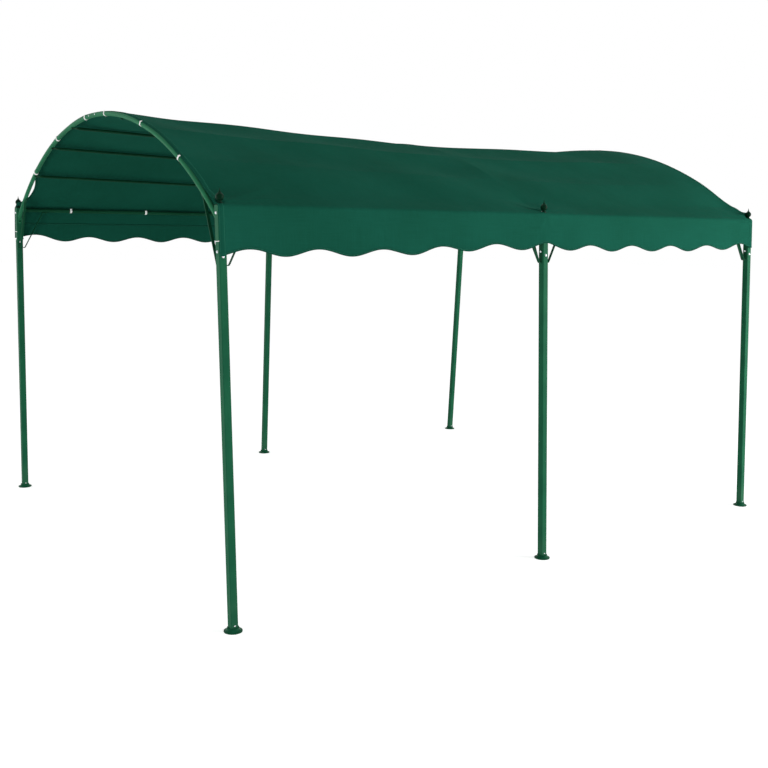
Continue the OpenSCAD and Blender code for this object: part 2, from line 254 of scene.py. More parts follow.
# ---- Posts ------------------------------------------------------------------------------
# Six posts of square steel tube with rounded corners, leaning out by three degrees. They
# are powder coated dark green: a satin skin with the faint ripple of sprayed powder.

SIDES = {"front": -1, "back": 1}
PLACES = {"left": -1, "middle": 0, "right": 1}
POST_HALF = 0.019
front_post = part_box("post_front_left")
middle_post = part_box("post_front_middle")
eave = front_post[1].z
half_length = -(front_post[0].x + front_post[1].x) / 2
corner_y = POST_HALF - front_post[1].y
middle_y = POST_HALF - middle_post[1].y
lean = (-front_post[0].y - POST_HALF - corner_y) / (eave - front_post[0].z)


def on_post(place, side, depth, out=0.0, along=0.0):
    """A point so far down the axis of a post, and so far out from it and along the gazebo."""
    down = Vector((0.0, side * lean, -1.0)).normalized()
    outward = Vector((0.0, side, lean)).normalized()
    top = Vector((place * half_length + along, side * (corner_y if place else middle_y), eave))
    return top + depth * down + out * outward


GREEN_SHINE = colour("9fd8b8")


def powder_coat(name, base, sheen, roughness, gloss):
    """Baked paint in two near shades, with a fine ripple, light scuffs and dust low down."""
    material, look, surface = new_material(name)
    place = look.node("ShaderNodeTexCoord", output="Object")
    cloud = look.node("ShaderNodeTexNoise", None, {"Vector": place, "Scale": 7.0, "Detail": 3.0})
    ripple = look.node("ShaderNodeTexNoise", None, {"Vector": place, "Scale": 900.0, "Detail": 1.0})
    scratch = look.node(
        "ShaderNodeTexNoise",
        None,
        {"Vector": place, "Scale": 55.0, "Detail": 8.0, "Roughness": 0.75, "Distortion": 1.5},
    )
    scuff = scratch.rise(0.66, 0.74)
    height = look.node("ShaderNodeSeparateXYZ", None, {0: place}, "Z")
    dust = (1 - height.rise(0.0, 0.30)) * cloud.rise(0.25, 0.75)
    shade = look.mix(cloud.rise(0.3, 0.7), colour(base), colour(sheen))
    shade = look.mix(scuff * 0.10, shade, colour("6f8f80"))
    shade = look.mix(dust * 0.07, shade, colour("9a9788"))
    look.fill(
        surface,
        {
            "Base Color": shade,
            "Roughness": roughness + 0.08 * cloud + 0.12 * scuff + 0.15 * dust,
            "Specular IOR Level": gloss,
            "Specular Tint": GREEN_SHINE,
            "Normal": look.node(
                "ShaderNodeBump", None, {"Strength": 0.25, "Distance": 0.0003, "Height": ripple}
            ),
        },
    )
    return material


def paint_nodes(material, kind):
    """Gives every piece of the frame whose name starts with kind this material."""
    for name, node in nodes.items():
        if name.startswith(kind):
            for place in node.material_slots:
                place.link = "OBJECT"
                place.material = material


post_paint = powder_coat("post_paint", "1e5f43", "236849", 0.42, 0.045)
paint_nodes(post_paint, "post_")


# ---- Feet and finials -------------------------------------------------------------------
# Moulded in dark green plastic, the finials nearly black, satin with a fine spark-eroded
# grain. A foot is pushed into the bottom of its post and a finial into the top.


def moulded_plastic(name, base, worn):
    """Satin plastic with a fine mould grain."""
    material, look, surface = new_material(name)
    place = look.node("ShaderNodeTexCoord", output="Object")
    cloud = look.node("ShaderNodeTexNoise", None, {"Vector": place, "Scale": 30.0, "Detail": 4.0})
    grain = look.node("ShaderNodeTexNoise", None, {"Vector": place, "Scale": 1600.0, "Detail": 2.0})
    look.fill(
        surface,
        {
            "Base Color": look.mix(cloud.rise(0.35, 0.75), colour(base), colour(worn)),
            "Roughness": 0.38 + 0.14 * cloud,
            "Specular IOR Level": 0.07,
            "Specular Tint": GREEN_SHINE,
            "Normal": look.node(
                "ShaderNodeBump", None, {"Strength": 0.3, "Distance": 0.0002, "Height": grain}
            ),
        },
    )
    return material


foot_plastic = moulded_plastic("foot_plastic", "145036", "195a3f")
finial_plastic = moulded_plastic("finial_plastic", "052517", "09301f")
paint_nodes(foot_plastic, "foot_")
paint_nodes(finial_plastic, "finial_")


# ---- Arches -----------------------------------------------------------------------------
# Three arches of round steel tube, each of two halves that slip together beside the crown.
# Their paint is lighter than that of the posts: painted light on the tubes.

# Painted light: the same green as the frame, made lighter.
arch_paint = powder_coat("arch_paint", "2a7350", "317f59", 0.45, 0.045)
paint_nodes(arch_paint, "arch_")

ARCH_RADIUS = 0.0125
ARCH_FOOT_DEPTH = 0.077
ARCH_PLATE_THICK = 0.004


def arch_circle(arch, post_y):
    """Radius, height of the centre and angle at the foot of an arch, from its crown."""
    foot_y = post_y + ARCH_FOOT_DEPTH * lean
    rise = arch[1].z - ARCH_RADIUS - (eave - ARCH_FOOT_DEPTH)
    radius = (foot_y**2 + rise**2) / (2 * rise)
    return radius, eave - ARCH_FOOT_DEPTH + rise - radius, math.asin(foot_y / radius)


end_radius, end_centre, end_turn = arch_circle(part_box("arch_left_front_half"), corner_y)
middle_radius, middle_centre, middle_turn = arch_circle(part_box("arch_middle_front_half"), middle_y)


def on_arch(place, turn, out=0.0, along=0.0):
    """A point at this angle of an arch, so far out from its middle line, and the way out."""
    radius, centre = (end_radius, end_centre) if place else (middle_radius, middle_centre)
    way = Vector((0.0, math.sin(turn), math.cos(turn)))
    return Vector((place * half_length + along, 0.0, centre)) + (radius + out) * way, way


# ---- Eave rails and purlins -------------------------------------------------------------
# Round steel tubes that run along the gazebo between the posts and under the arches, with
# flattened ends on the purlins. Painted shade under the cover makes the rails darker than
# the posts, the purlins more so.

# Painted shade: the frame's green made darker for the rails, darker still for the purlins.
rail_paint = powder_coat("rail_paint", "164b33", "1a543a", 0.42, 0.05)
purlin_paint_with_painted_shade = powder_coat("purlin_paint_with_painted_shade", "103c27", "14452e", 0.42, 0.05)
paint_nodes(rail_paint, "eave_rail_")
paint_nodes(purlin_paint_with_painted_shade, "purlins_")


# ---- Knee braces ------------------------------------------------------------------------
# Bent flat steel bars below the eaves, bolted to the posts, rails and arches. Their paint
# is a little darker than that of the posts, as painted shade below the eaves.

# Painted shade: the frame's green made a little darker.
brace_paint = powder_coat("brace_paint", "164e35", "1b583d", 0.40, 0.06)
paint_nodes(brace_paint, "braces_")


# ---- Bolts, nuts and screws -------------------------------------------------------------
# Zinc-plated steel, mostly left bright. Dome-headed bolts with washers and nuts hold the
# braces, arches, purlins and rails, and small screws hold the feet and the joints beside
# the crowns. Those under the arches and rails and on the arches' plates are painted green.

zinc, look, surface = new_material("bright_zinc")
place = look.node("ShaderNodeTexCoord", output="Object")
spangle = look.node("ShaderNodeTexVoronoi", None, {"Vector": place, "Scale": 900.0})
bloom = look.node("ShaderNodeTexNoise", None, {"Vector": place, "Scale": 160.0, "Detail": 3.0})
look.fill(
    surface,
    {
        "Base Color": look.mix(bloom.rise(0.4, 0.8), colour("e4e7ea"), colour("b9bec2")),
        "Metallic": 0.75,
        "Roughness": 0.30 + 0.14 * bloom + 0.06 * spangle,
        "Normal": look.node(
            "ShaderNodeBump", None, {"Strength": 0.2, "Distance": 0.0001, "Height": spangle}
        ),
    },
)

TURNED_SIDES = 24
BRACE_THICK = 0.003
BRACE_BOLT_DEPTH = 0.207
CROSS_BOLT_DEPTH = 0.228
RAIL_BOLT_DEPTH = 0.0310
RAIL_BOLT_FROM_TIP = 0.0075
BESIDE_POST = 0.05
TAB_BOLT_IN = 0.0062
TAB_UNDER_ARCH = 0.0035
PLATE_BOLT_GAP = 0.028
GABLE_BOLT_DEPTH = 0.034
FOOT_SCREW_HEIGHT = 0.029
WASHER = [(0.0066, 0.0), (0.0066, 0.0009), (0.0063, 0.0012)]
DOME = [(0.0054, 0.0012), (0.0053, 0.0026), (0.0044, 0.0040), (0.0025, 0.0049), (0.0004, 0.0052)]
PAN = [(0.0038, 0.0), (0.0038, 0.0012), (0.0031, 0.0022), (0.0013, 0.0026), (0.0013, 0.0018)]
HEXAGON = [(0.0062, 0.0012), (0.0062, 0.0058)]
STUB = [(0.0029, 0.0058), (0.0029, 0.0078), (0.0022, 0.0086)]


def turned(profile, at, axis, flats=()):
    """Points and faces of a turned piece on a face: its radii and heights, spun about an
    axis. Each of the flats is a radius and a height that is a hexagon instead."""
    turn = Vector(axis).to_track_quat("Z", "Y").to_matrix()
    points = []
    for radius, height in profile:
        for k in range(TURNED_SIDES):
            angle = 2 * math.pi * k / TURNED_SIDES
            r = radius
            if (radius, height) in flats:
                r = radius * math.cos(math.pi / 6) / math.cos(angle % (math.pi / 3) - math.pi / 6)
            on_ring = Vector((r * math.cos(angle), r * math.sin(angle), height))
            points.append(Vector(at) + turn @ on_ring)
    faces = [tuple(reversed(range(TURNED_SIDES)))]
    for ring in range(len(profile) - 1):
        for k in range(TURNED_SIDES):
            a, b = ring * TURNED_SIDES + k, ring * TURNED_SIDES + (k + 1) % TURNED_SIDES
            faces.append((a, b, b + TURNED_SIDES, a + TURNED_SIDES))
    faces.append(tuple((len(profile) - 1) * TURNED_SIDES + k for k in range(TURNED_SIDES)))
    return points, faces


def bolt_head(at, axis):
    return turned(WASHER + DOME, at, axis)


def nut(at, axis):
    return turned(WASHER + HEXAGON + STUB, at, axis, HEXAGON)


def screw(at, axis):
    return turned(PAN, at, axis)


def joined(name, pieces, material, smooth):
    """One object from the points and faces of several pieces."""
    points, faces = [], []
    for some_points, some_faces in pieces:
        faces += [tuple(k + len(points) for k in face) for face in some_faces]
        points += some_points
    group = add_mesh(name, points, faces, material, smooth)
    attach(group, "root")
    return group


def fixed_in(name, fixings, material=zinc):
    """One object from several bolts, nuts or screws."""
    joined(name, fixings, material, smooth=False)


X_AXIS = Vector((1.0, 0.0, 0.0))
for side_name, side in SIDES.items():
    for place_name, place in PLACES.items():
        corner = side_name + "_" + place_name
        outward = Vector((0.0, side, lean)).normalized()
        down = Vector((0.0, side * lean, -1.0)).normalized()
        out_x = place or -1
        post_x = place * half_length
        brace_low, brace_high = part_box("braces_" + corner)
        # Through the post, for the braces that run along the gazebo
        head_face = out_x * (POST_HALF + (0 if place else BRACE_THICK))
        nut_face = -out_x * (POST_HALF + BRACE_THICK)
        bright = [
            bolt_head(on_post(place, side, BRACE_BOLT_DEPTH, along=head_face), out_x * X_AXIS),
            nut(on_post(place, side, BRACE_BOLT_DEPTH, along=nut_face), -out_x * X_AXIS),
            # Through the post, for the brace that runs across
            bolt_head(on_post(place, side, CROSS_BOLT_DEPTH, POST_HALF), outward),
            nut(on_post(place, side, CROSS_BOLT_DEPTH, -POST_HALF - BRACE_THICK), -outward),
        ]
        if place:
            at = on_post(place, side, GABLE_BOLT_DEPTH, along=place * POST_HALF)
            bright.append(bolt_head(at, place * X_AXIS))
        painted = []
        # Under the rail, by the tip of each brace that runs along
        for x in (brace_low.x, brace_high.x):
            if abs(x - post_x) > BESIDE_POST:
                tip = x - math.copysign(RAIL_BOLT_FROM_TIP, x - post_x)
                at = on_post(place, side, RAIL_BOLT_DEPTH, along=tip - post_x)
                painted.append(bolt_head(at, down))
        # Under the arch, where the tab of the cross brace lies
        bolt_y = min(abs(brace_low.y), abs(brace_high.y)) + TAB_BOLT_IN
        turn = math.asin(bolt_y / (end_radius if place else middle_radius))
        at, way = on_arch(place, side * turn, -ARCH_RADIUS - TAB_UNDER_ARCH)
        painted.append(bolt_head(at, -way))
        # On the inner face of the arch's plate
        plate_depth = ARCH_FOOT_DEPTH - POST_HALF * math.tan(end_turn if place else middle_turn)
        for gap in (-PLATE_BOLT_GAP, PLATE_BOLT_GAP):
            at = on_post(place, side, plate_depth + gap, -POST_HALF - ARCH_PLATE_THICK)
            painted.append(nut(at, -outward))
        # These take the braces' paint, with its painted shade.
        fixed_in("painted_bolts_" + corner, painted, brace_paint)
        fixed_in("post_bolts_" + corner, bright)
        foot_depth = (eave - FOOT_SCREW_HEIGHT) / math.cos(math.atan(lean))
        fixed_in(
            "foot_screws_" + corner,
            [
                screw(on_post(place, side, foot_depth, POST_HALF), outward),
                screw(on_post(place, side, foot_depth, -POST_HALF), -outward),
            ],
        )

PURLIN_TURNS = [math.radians(a) for a in (10, 20, 30)]
UNDER_TAB = 0.0163
UNDER_LAPPED_TABS = 0.0206
JOINT_SCREWS = (-0.015, 0.074)
for place_name, place in PLACES.items():
    share = 1.0 if place else middle_turn / end_turn
    under = UNDER_TAB if place else UNDER_LAPPED_TABS
    out_x = place or -1
    screws, painted = [], []
    for turn in [side * share * turn for side in (-1, 1) for turn in PURLIN_TURNS]:
        at, way = on_arch(place, turn, -under)
        painted.append(bolt_head(at, -way))
    for along_arch in JOINT_SCREWS:
        at, way = on_arch(place, along_arch / end_radius, along=out_x * ARCH_RADIUS)
        screws.append(screw(at, out_x * X_AXIS))
    fixed_in("arch_screws_" + place_name, screws)
    # These bolts take the purlins' paint, with its painted shade.
    fixed_in("purlin_bolts_" + place_name, painted, purlin_paint_with_painted_shade)


# ---- Canopy -----------------------------------------------------------------------------
# One cover of coated woven polyester in dark blue-green. It lies over the three arches and
# the purlins, which divide it into flat bands, and turns down over the eave rails into a
# valance with a waved edge on each long side. Ties hold it to the tubes below.

CLOTH_THICK = 0.0012
EDGE_TURN = math.radians(37.2)
OVER_ARCH = ARCH_RADIUS + 0.0021
DROP_TO_PURLINS = 0.004
BAND_SAG = 0.0042
ARCH_HOLD = 0.35
RIGHT_ARCH_HOLD = 0.80
FOLD_OUT = 0.021 + CLOTH_THICK / 2
FOLD_UP = 0.0012
FOLD_AT_FINIAL = 0.0045
FINIAL_REACH = 0.045
FOLD_ROUND = 0.014
VALANCE_DEPTH = 0.186
WAVE_HEIGHT = 0.034
WAVE_LENGTH = 0.370
TIE_TURNS = [math.radians(a) for a in (3.9, 16.9, 29.5)]
CLOTH_HALF = half_length + POST_HALF

# Across the cloth, places are measured from the crown along an end arch: the roof up to
# where it leaves the arch, a straight run down to the fold, and then the valance.
skin_radius = end_radius + OVER_ARCH
edge_at = skin_radius * EDGE_TURN
purlins_at = [skin_radius * a for a in PURLIN_TURNS]
edge_out = np.array([math.sin(EDGE_TURN), math.cos(EDGE_TURN)])
edge_to_fold = (0.0, end_centre) + skin_radius * edge_out - (corner_y + FOLD_OUT, eave + FOLD_UP)
fold_at = edge_at + float(np.linalg.norm(edge_to_fold))

# How much deeper the valances hang, at places along the front and the back
VALANCE_MORE = 0.027
FRONT_PLACES = (-1.05, -0.50, 0.0, 0.40, 1.40, CLOTH_HALF)
FRONT_MORE = (VALANCE_MORE, 0.0, -0.006, 0.005, 0.005, -0.014)
BACK_PLACES = (-CLOTH_HALF, -1.60, -0.40, CLOTH_HALF)
BACK_MORE = (0.004, VALANCE_MORE, VALANCE_MORE, 0.0)


def valance_end(x, side):
    """Where the waved edge of the front or the back valance is, down from the crown."""
    places, depths = (FRONT_PLACES, FRONT_MORE) if side < 0 else (BACK_PLACES, BACK_MORE)
    more = np.interp(x, places, depths)
    return fold_at + VALANCE_DEPTH + more - WAVE_HEIGHT / 2 * np.cos(2 * math.pi * x / WAVE_LENGTH)


def between(a, b, share):
    return a + (b - a) * share


def limited(share):
    return np.clip(share, 0.0, 1.0)


def hump(distance, width):
    """1 at no distance, falling smoothly to almost nothing at two widths."""
    return np.exp(-((distance / width) ** 2))


def arch_share(x):
    """0 at the middle arch and 1 at an end arch."""
    return np.minimum(1.0, np.abs(x) / half_length)


def free_of_arches(x):
    """0 on an arch, and 1 where the cloth spans freely from purlin to purlin."""
    near = np.minimum(np.abs(x), np.abs(half_length - np.abs(x)))
    right = x > half_length / 2
    hold = np.where(right, RIGHT_ARCH_HOLD, ARCH_HOLD)
    return np.sin(math.pi / 2 * np.minimum(1.0, near / hold)) ** np.where(right, 2.0, 1.0)


def flat_band(turn):
    """The cloth between two purlins, as a share of the radius: a chord that hangs a little."""
    share = np.ones_like(turn)
    for low, high in zip([-PURLIN_TURNS[0]] + PURLIN_TURNS, PURLIN_TURNS):
        inside = (turn >= low) & (turn <= high)
        from_middle = turn - (high + low) / 2
        chord = math.cos((high - low) / 2) / np.cos(from_middle)
        hollow = np.cos(math.pi * from_middle / (high - low)) if low > 0 else 0.0
        share = np.where(inside, chord - BAND_SAG * hollow, share)
    return share


LEFT_EDGE_IN = 0.012
LEFT_EDGE_STOP = 0.045
LEFT_EDGE_FADE = 0.040
LAST_LOOP_END = 0.062
LOOPS_IN = (0.003, 0.005, 0.005)
BACK_LEFT_CORNER_IN = 0.046
CORNER_IN = 0.008
LOOP_ROUND = 1.3


def drawn_in(x, across):
    """How far the gable edge is drawn in: at the left to the top of the arch, a little more
    between one tie and the next, and clear of the arch between the last tie and the post."""
    down = np.abs(across)
    places = [skin_radius * turn for turn in TIE_TURNS] + [fold_at - LAST_LOOP_END]
    above_fold = limited((fold_at - LEFT_EDGE_STOP - down) / LEFT_EDGE_FADE)
    edge = np.where(x < 0, LEFT_EDGE_IN, 0.0) * above_fold
    corner = np.where((x < 0) & (across > 0), BACK_LEFT_CORNER_IN, CORNER_IN)
    for low, high, depth in zip([-places[0]] + places, places, (*LOOPS_IN, corner)):
        loop = np.sin(math.pi * limited((down - low) / (high - low)))
        edge = edge + depth * loop**LOOP_ROUND
    return edge


EDGE_PULL_FROM = 1.55


def raw_cloth(x, across):
    """Points of the stretched cloth, with a sharp fold and without its creases."""
    side = np.where(across < 0, -1.0, 1.0)
    down = np.abs(across)
    share = arch_share(x)
    free = free_of_arches(x)
    turn = np.minimum(down, edge_at) / skin_radius
    arch_radius = between(middle_radius, end_radius, share)
    radius = arch_radius + OVER_ARCH - DROP_TO_PURLINS * free
    crown = between(middle_radius + middle_centre, end_radius + end_centre, share)
    centre = crown - arch_radius

    def on_roof(turn):
        true_turn = turn * between(middle_turn, end_turn, share) / end_turn
        length = radius * between(1.0, flat_band(turn), free)
        return length * np.sin(true_turn), centre + length * np.cos(true_turn)

    roof_y, roof_z = on_roof(turn)
    fold_y = corner_y + (middle_y - corner_y) * (1 - share) + FOLD_OUT
    fold_z = eave + FOLD_UP + FOLD_AT_FINIAL * hump(x, FINIAL_REACH)
    run = limited((down - edge_at) / (fold_at - edge_at))
    y = between(roof_y, fold_y, run)
    z = between(roof_z, fold_z, run)
    # Away from the arches the last band runs straight from the lowest purlin to the fold
    band = limited((down - purlins_at[2]) / (fold_at - purlins_at[2]))
    last_y, last_z = on_roof(np.full_like(turn, PURLIN_TURNS[2]))
    y = np.where(band > 0, between(y, between(last_y, fold_y, band), free), y)
    z = np.where(band > 0, between(z, between(last_z, fold_z, band), free), z)
    hang = np.maximum(down - fold_at, 0.0)
    y = y + hang * lean
    z = z - hang
    pull = limited((np.abs(x) - EDGE_PULL_FROM) / (CLOTH_HALF - EDGE_PULL_FROM)) ** 2
    return np.stack([x - np.sign(x) * drawn_in(x, across) * pull, side * y, z], axis=-1)


def stretched_cloth(x, across):
    """Points of the cloth with its fold rounded over the rail."""
    past = limited((np.abs(across) - fold_at + FOLD_ROUND) / (2 * FOLD_ROUND))
    side = np.where(across < 0, -1.0, 1.0)
    inside = (past > 0) & (past < 1)
    before = raw_cloth(x, np.where(inside, side * (fold_at - FOLD_ROUND), across))
    at_fold = raw_cloth(x, np.where(inside, side * fold_at, across))
    after = raw_cloth(x, np.where(inside, side * (fold_at + FOLD_ROUND), across))
    past = past[..., None]
    curve = (1 - past) ** 2 * before + 2 * past * (1 - past) * at_fold + past**2 * after
    return np.where(inside[..., None], curve, at_fold)


# The holes for the finials are round as seen from above, on cloth of this slope
HOLE_RADIUS = 0.0120
HOLE_FROM_FOLD = 0.0228
hole_at = fold_at - HOLE_FROM_FOLD
slope = math.cos(math.radians(22))

# Creases: each runs from one place of the cloth to another, given along and across, and has
# a height and a width. They fan out from the finials, the gable ties and the corners.
rng = random.Random(7)
creases = []
for side in (-1, 1):
    for way in (-1, 1):
        fin = side * (fold_at - 0.035)
        under_fin, below = side * (fold_at + 0.02), side * (fold_at + 0.17)
        corner_x = way * (half_length - 0.03)
        under_corner, corner_below = side * (fold_at + 0.01), side * (fold_at + 0.16)
        creases += [
            (0.0, fin, way * 0.16, fin - side * 0.20, 0.0050, 0.012),
            (0.0, fin, way * 0.34, fin - side * 0.10, 0.0030, 0.014),
            (0.0, under_fin, way * 0.14, below, 0.0030, 0.018),
            (0.0, fin, way * 0.10, fin - side * 0.055, -0.0050, 0.007),
            (corner_x, fin, corner_x - way * 0.52, fin - side * 0.30, 0.0045, 0.020),
            (corner_x, fin, corner_x - way * 0.72, fin - side * 0.13, 0.0035, 0.016),
            (corner_x, under_corner, corner_x - way * 0.27, corner_below, 0.0030, 0.020),
        ]
        for turn in TIE_TURNS:
            at = side * skin_radius * turn
            for fan in (-1, 1):
                length = rng.uniform(0.16, 0.30)
                spread = fan * rng.uniform(0.03, 0.12)
                height = rng.uniform(0.0012, 0.0024)
                start, end = way * (CLOTH_HALF - 0.02), way * (CLOTH_HALF - length)
                creases.append((start, at, end, at + spread, height, 0.010))

# Slow swells: wave lengths along and across, where each starts, and its height
swells = []
for _ in range(7):
    lengths = rng.uniform(0.7, 1.5), rng.uniform(0.5, 1.1)
    start, height = rng.uniform(0, 6.3), rng.uniform(0.0008, 0.0018)
    swells.append((*lengths, start, height))

SAG = 0.014
SWING = 0.009
SWELL_FADE = 0.10
BY_GABLE = 0.075
LEFT_PLEAT = 0.010
RIGHT_PLEAT = 0.018
PLEAT_UP = 0.056
PLEAT_WIDTH = 0.032
FINIAL_CLEAR = 0.018
FINIAL_CLEAR_FADE = 0.016
RIGHT_LIFT = 0.010
SLACK_FROM = 0.9
SLACK_FADE = 0.15
BULGE = 0.013
BULGE_UP = 0.16
BULGE_WIDTH = 0.080


def relief(x, across):
    """How far the cloth stands out from its stretched shape."""
    down = np.abs(across)
    side = np.sign(across)
    free = free_of_arches(x)
    band = limited((down - purlins_at[2]) / (fold_at - purlins_at[2]))
    bay = np.sin(math.pi * arch_share(x))
    height = -SAG * np.sin(math.pi * band**1.4) ** 1.5 * bay * free
    # By a corner finial the cloth stands up in a short pleat
    by_gable = hump(CLOTH_HALF - np.abs(x), BY_GABLE)
    from_finial = np.hypot(np.abs(x) - half_length, down - hole_at)
    clear = limited((from_finial - FINIAL_CLEAR) / FINIAL_CLEAR_FADE)
    pleat = np.where(x < 0, LEFT_PLEAT, RIGHT_PLEAT)
    height = height + pleat * by_gable * clear * hump(down - fold_at + PLEAT_UP, PLEAT_WIDTH)
    # It is slacker over the right arch, and most of all above the corners there
    slack = limited((x - SLACK_FROM) / SLACK_FROM) * limited((fold_at - down) / SLACK_FADE)
    bulge = by_gable * (x > 0) * hump(down - fold_at + BULGE_UP, BULGE_WIDTH)
    height = height + RIGHT_LIFT * slack + BULGE * bulge
    for along_length, across_length, start, size in swells:
        phase = 2 * math.pi * (x / along_length + across / across_length) + start
        height = height + size * free * limited((fold_at - down) / SWELL_FADE) * np.sin(phase)
    # The valances stand out a little, more in some places along them than in others
    hang = np.clip((down - fold_at) / VALANCE_DEPTH, 0.0, 1.1)
    sway = 0.5 + 0.28 * np.sin(x * 9.1 + side * 1.3) + 0.22 * np.sin(x * 15.7 + side * 2.1)
    height = height + SWING * hang * sway
    for x0, a0, x1, a1, size, width in creases:
        run = np.array([x1 - x0, a1 - a0])
        length = math.hypot(*run)
        run /= length
        share = ((x - x0) * run[0] + (across - a0) * run[1]) / length
        off = (x - x0) * run[1] - (across - a0) * run[0]
        taper = limited(share / 0.12) * limited(1 - share)
        spread = width * (0.6 + 0.9 * limited(share))
        height = height + size * taper * hump(off, spread)
    return height


def cloth(x, across, lift=0.0):
    """Points on the finished cloth, or lifted off its middle."""
    x, across = np.broadcast_arrays(np.asarray(x, float), np.asarray(across, float))
    step = 0.003
    along = stretched_cloth(x + step, across) - stretched_cloth(x - step, across)
    over = stretched_cloth(x, across + step) - stretched_cloth(x, across - step)
    normal = np.cross(along, over)
    normal /= np.linalg.norm(normal, axis=-1, keepdims=True)
    height = relief(x, across) + lift
    return stretched_cloth(x, across) + normal * height[..., None]


THREAD = 0.0009
STITCH_LENGTH = 0.0045
STITCH_SHOWN = 0.72


def woven(name, base, deep, light, stitch_rows=()):
    """Coated plain weave: crossing threads, slubs, soft crinkles, and rows of stitches."""
    material, look, surface = new_material(name)
    uv = look.node("ShaderNodeUVMap", {"uv_map": "cloth"})
    u = look.node("ShaderNodeSeparateXYZ", None, {0: uv})
    v = u.beside("Y")
    weave = u.wave(2 * THREAD) * v.wave(2 * THREAD)

    def streaks(stretch_u, stretch_v):
        place = look.node("ShaderNodeCombineXYZ", None, {0: u * stretch_u, 1: v * stretch_v})
        return look.node("ShaderNodeTexNoise", None, {"Vector": place, "Scale": 1.0, "Detail": 2.0})

    slub = streaks(6.0, 700.0) * 0.5 + streaks(700.0, 6.0) * 0.5
    cloud = look.node("ShaderNodeTexNoise", None, {"Vector": uv, "Scale": 1.7, "Detail": 4.0})
    crinkle = look.node(
        "ShaderNodeTexNoise",
        None,
        {"Vector": uv, "Scale": 8.0, "Detail": 5.0, "Roughness": 0.55, "Distortion": 0.6},
    )
    shade = look.mix(cloud.rise(0.3, 0.7), colour(base), colour(deep))
    shade = look.mix(slub.rise(0.35, 0.65) * 0.35, shade, colour(light))
    # Painted shade: the colour darkens where the weave sinks.
    shade = look.mix((0.5 - 0.5 * weave) * 0.12, shade, colour(deep))
    height = weave * 0.5 + slub * 0.6
    for row in stitch_rows:
        on_row = 1 - abs(v - row).rise(0.0003, 0.0006)
        stitch = on_row * (u.part_of(STITCH_LENGTH) < STITCH_SHOWN)
        shade = look.mix(stitch, shade, colour("3f8f74"))
        height = height + stitch * 3.0 - (1 - abs(v - row).rise(0.0004, 0.0022)) * 1.5
    soft = look.node(
        "ShaderNodeBump", None, {"Strength": 0.35, "Distance": 0.010, "Height": crinkle}
    )
    look.fill(
        surface,
        {
            "Base Color": shade,
            "Roughness": 0.72 + 0.12 * slub + 0.06 * cloud,
            "Specular IOR Level": 0.015,
            "Specular Tint": colour("9fd8c0"),
            "Normal": look.node(
                "ShaderNodeBump",
                None,
                {"Strength": 0.35, "Distance": 0.00025, "Height": height, "Normal": soft},
            ),
        },
    )
    return material


def map_cloth(piece, places):
    """Gives each point of a piece its place on the cloth, in metres, for the weave."""
    layer = piece.data.uv_layers.new(name="cloth")
    index = np.empty(len(piece.data.loops), int)
    piece.data.loops.foreach_get("vertex_index", index)
    layer.data.foreach_set("uv", np.asarray(places, float)[index].ravel())


def lines(*stretches):
    """Places from one stretch after another: each has its end and its step."""
    start = stretches[0]
    places = [start]
    for end, step in stretches[1:]:
        count = max(1, round((end - start) / step))
        places += [start + (end - start) * k / count for k in range(1, count + 1)]
        start = end
    return places


# The grid of the cloth is finest by the finials, over the purlins and round the fold
half_x = lines(
    0.0,
    (0.024, 0.004),
    (0.10, 0.010),
    (0.35, 0.018),
    (half_length - 0.45, 0.040),
    (half_length - 0.12, 0.018),
    (half_length - 0.028, 0.010),
    (CLOTH_HALF, 0.0036),
)
grid_x = [-x for x in reversed(half_x[1:])] + half_x
BY_PURLIN = 0.010
over_purlins = []
for at, step in zip(purlins_at, (0.030, 0.026, 0.024)):
    over_purlins += [(at - BY_PURLIN, step), (at + BY_PURLIN, 0.005)]
to_fold = [(fold_at - 0.060, 0.018), (fold_at - 0.006, 0.0035), (fold_at + 0.015, 0.0026)]
half_roof = lines(0.0, *over_purlins, *to_fold)
HANG_STEPS = 12
columns = len(half_roof) + HANG_STEPS
x_grid = np.repeat(np.array(grid_x)[:, None], 2 * columns - 1, axis=1)
hang_share = np.arange(1, HANG_STEPS + 1) / HANG_STEPS
halves = []
for side in (-1, 1):
    half_down = np.empty((len(grid_x), columns))
    half_down[:, : len(half_roof)] = half_roof
    hem_line = valance_end(np.array(grid_x), side)[:, None]
    half_down[:, len(half_roof) :] = between(half_roof[-1], hem_line, hang_share[None, :])
    halves.append(half_down)
across_grid = np.concatenate([-halves[0][:, :0:-1], halves[1]], axis=1)

# The finials stand through round holes: the cells inside are left out, and the places
# around them move onto the circle.
rows, cols = x_grid.shape
hole_x = np.round(x_grid / half_length) * half_length
from_hole_x = x_grid - hole_x
from_hole_y = (np.abs(across_grid) - hole_at) * slope
cell_x = (x_grid[1:, 1:] + x_grid[:-1, :-1]) / 2
cell_x = cell_x - np.round(cell_x / half_length) * half_length
cell_y = (from_hole_y[1:, 1:] + from_hole_y[:-1, :-1]) / 2
kept = np.hypot(cell_x, cell_y) > HOLE_RADIUS
used = np.zeros((2, rows, cols), bool)
for state, cells in enumerate((~kept, kept)):
    for i, j in ((0, 0), (0, 1), (1, 0), (1, 1)):
        used[state, i : rows - 1 + i, j : cols - 1 + j] |= cells
on_rim = used[0] & used[1]
reach = np.hypot(from_hole_x, from_hole_y)
scale = np.where(on_rim, HOLE_RADIUS / np.maximum(reach, 1e-6), 1.0)
x_grid = hole_x + from_hole_x * scale
down_grid = hole_at + (np.abs(across_grid) - hole_at) * scale
across_grid = np.where(on_rim, np.sign(across_grid) * down_grid, across_grid)

